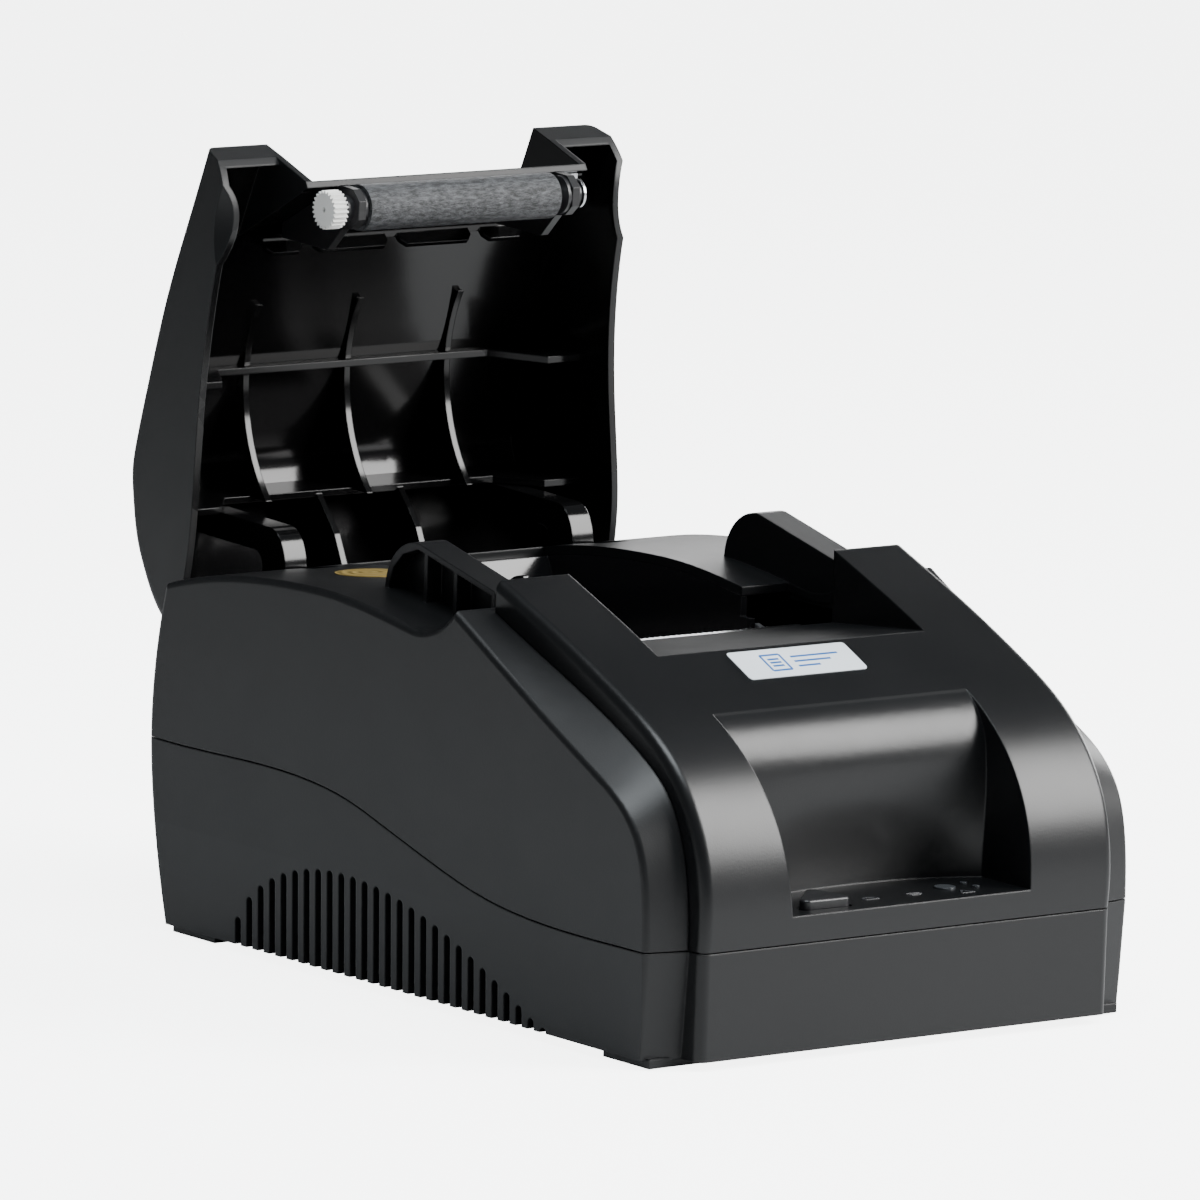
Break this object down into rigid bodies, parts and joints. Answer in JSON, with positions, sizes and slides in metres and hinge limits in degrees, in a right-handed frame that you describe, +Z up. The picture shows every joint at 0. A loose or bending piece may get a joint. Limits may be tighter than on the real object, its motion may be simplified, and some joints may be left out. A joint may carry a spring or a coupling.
{
  "type": "receipt printer",
  "caption": "Desktop thermal receipt printer with a hinged lid that carries the platen roller, a drop-in paper bucket and a recessed feed button.",
  "frame": {"origin": "on the surface it stands on, midway between the sides and midway along the body", "axes": "+X to the right seen from the front, +Y to the rear, +Z up"},
  "size_m": [0.134, 0.2176, 0.1756],
  "materials": {
    "case_black": "fine textured moulded plastic",
    "panel_black": "satin moulded plastic",
    "lid_black": "moulded plastic, glossy inside",
    "bucket_black": "polished plastic",
    "inner_black": "moulded plastic",
    "button_black": "satin plastic",
    "label_white": "coated paper",
    "foil_gold": "metallised foil",
    "foot_rubber": "soft rubber",
    "screw_steel": "zinc plated",
    "frame_steel": "zinc plated sheet",
    "bright_steel": "ground steel",
    "motor_steel": "drawn steel can",
    "head_aluminium": "milled",
    "head_ceramic": "glazed ceramic",
    "board_green": "solder mask",
    "component_dark": "moulded components",
    "socket_white": "moulded",
    "lamp_lens": "clear light guide",
    "ribbon_white": "laminated flat cable",
    "platen_rubber": "ground rubber",
    "gear_white": "acetal",
    "bush_black": "acetal"
  },
  "bodies": {
    "case": {"base_shell": "case_black", "upper_shell": "case_black", "front_panel": "panel_black", "paper_bucket": "bucket_black", "badge_label": "label_white", "foil_seal": "foil_gold", "rating_label": "label_white", "rubber_feet": "foot_rubber", "case_screws": "screw_steel", "mechanism_screws": "screw_steel", "panel_board": "board_green", "feed_switch": "inner_black", "indicator_lenses": "lamp_lens", "main_board": "board_green", "board_parts": "component_dark", "usb_socket": "inner_black", "usb_tongue": "socket_white", "drawer_socket": "inner_black", "power_jack": "inner_black", "jack_pin": "bright_steel", "switch_frame": "inner_black", "switch_pin": "bright_steel", "mechanism_frame": "frame_steel", "gear_post": "bright_steel", "feed_motor": "motor_steel", "head_pivot_pin": "bright_steel", "head_springs": "bright_steel", "paper_guide": "inner_black", "paper_sensor": "inner_black", "lid_switch": "inner_black", "head_ribbon": "ribbon_white", "tear_blade": "bright_steel", "latch_plate": "inner_black", "hinge_brackets": "frame_steel", "hinge_pins": "bright_steel"},
    "lid": {"lid_shell": "lid_black", "lid_ribs": "lid_black", "lid_arms": "lid_black", "platen_bushes": "bush_black", "platen_arms": "inner_black", "platen_bracket": "frame_steel"},
    "platen": {"platen_shaft": "bright_steel", "platen_rubber": "platen_rubber", "platen_gear": "gear_white", "platen_clip": "bright_steel"},
    "idler": {"idler_gear": "gear_white"},
    "motor_rotor": {"motor_pinion": "gear_white", "motor_shaft": "bright_steel"},
    "head": {"head_heatsink": "head_aluminium", "print_head": "head_ceramic"},
    "button": {"feed_button": "button_black"},
    "rocker": {"power_rocker": "inner_black"}
  },
  "joints": [
    {"name": "lid_hinge", "type": "hinge", "parent": "case", "child": "lid", "pos_m": [0, 0.081, 0.076], "axis": [1, 0, 0], "range_deg": [0, 88]},
    {"name": "platen_spin", "type": "hinge", "parent": "lid", "child": "platen", "pos_m": [0, 0.07444, 0.16342], "axis": [1, 0, 0], "continuous": true},
    {"name": "idler_spin", "type": "hinge", "parent": "case", "child": "idler", "pos_m": [0, -0.00352, 0.06717], "axis": [1, 0, 0], "continuous": true},
    {"name": "motor_spin", "type": "hinge", "parent": "case", "child": "motor_rotor", "pos_m": [0, -0.00352, 0.05634], "axis": [1, 0, 0], "continuous": true},
    {"name": "head_tilt", "type": "hinge", "parent": "case", "child": "head", "pos_m": [0, -0.0142, 0.058], "axis": [1, 0, 0], "range_deg": [0, 1.5], "stiffness_Nm_per_rad": 0.5, "springref_deg": -2.86},
    {"name": "button_press", "type": "slide", "parent": "case", "child": "button", "axis": [0, 0, -1], "range_m": [0, 0.0009], "stiffness_N_per_m": 300, "springref_m": -0.001},
    {"name": "rocker_tilt", "type": "hinge", "parent": "case", "child": "rocker", "pos_m": [0.043, 0.0825, 0.0176], "axis": [-1, 0, 0], "range_deg": [0, 14]}
  ],
  "couplings": [
    {"joint": "motor_spin", "follows": "idler_spin", "ratio": -5}
  ]
}
